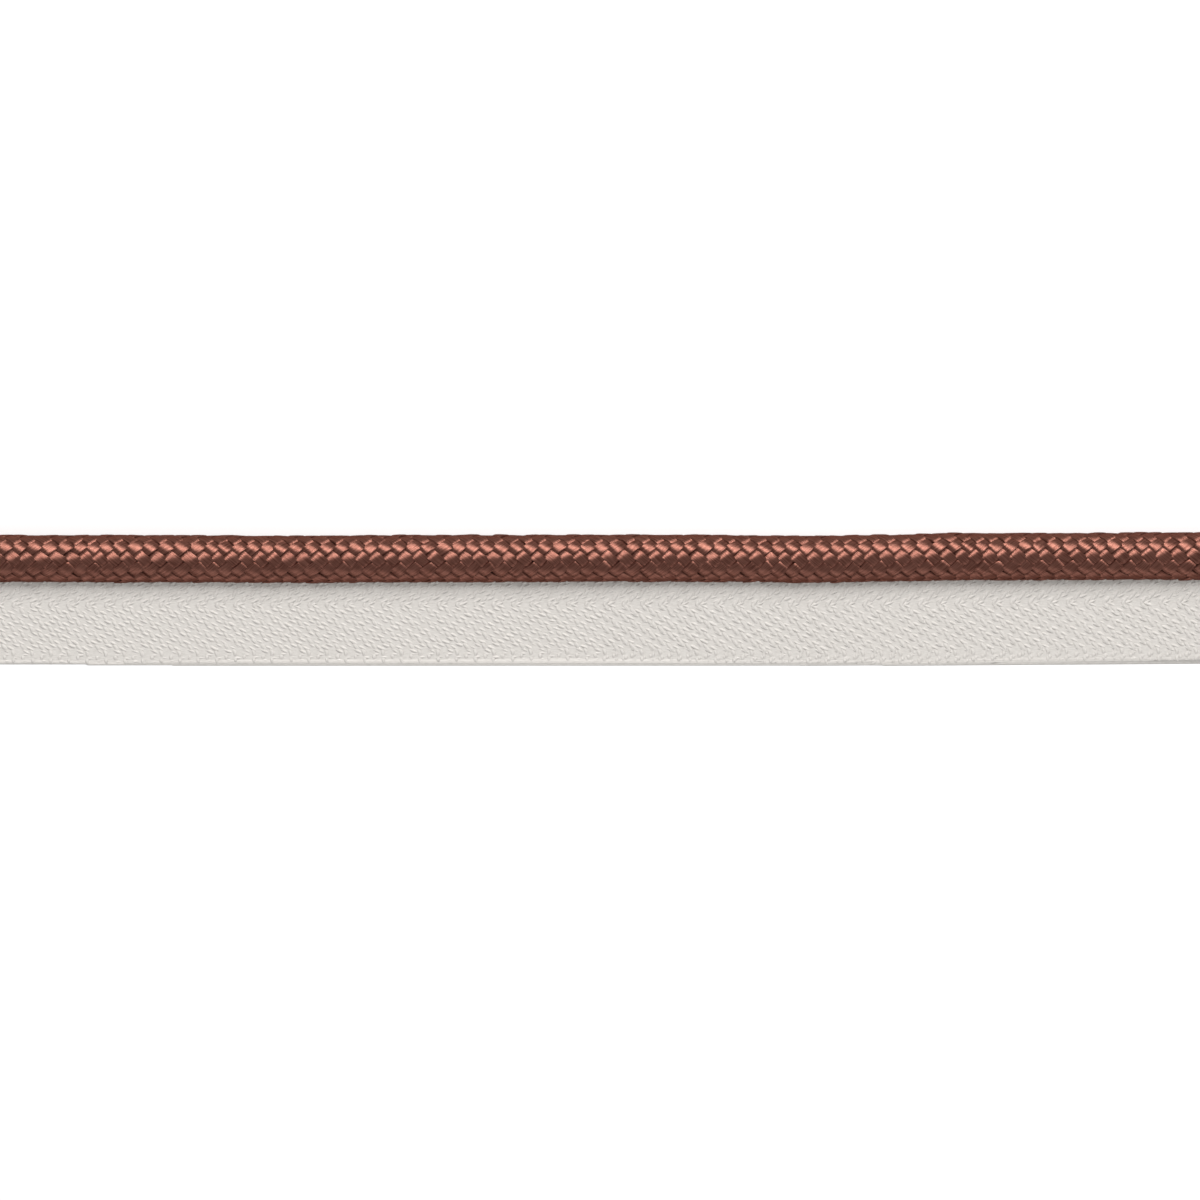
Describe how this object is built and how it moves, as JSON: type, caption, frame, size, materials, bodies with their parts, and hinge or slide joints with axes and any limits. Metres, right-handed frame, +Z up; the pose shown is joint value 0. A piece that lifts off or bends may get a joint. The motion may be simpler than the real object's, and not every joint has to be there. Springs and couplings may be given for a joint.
{
  "type": "piping trim",
  "caption": "Cut length of piping trim laid on a surface: a round braided cord with a flat herringbone-woven tape along one side, which is sewn into a seam.",
  "frame": {"origin": "middle of the underside of the whole cut length, on the surface that it lies on", "axes": "+X along the trim, +Y across it towards the cord, +Z up"},
  "size_m": [0.17, 0.0172, 0.006],
  "materials": {
    "cord_yarn": "satin copper-brown filament yarn",
    "tape_yarn": "matt warm pale grey spun yarn"
  },
  "bodies": {
    "root": {"braided_cord": "cord_yarn", "tape_flange": "tape_yarn"}
  },
  "joints": []
}
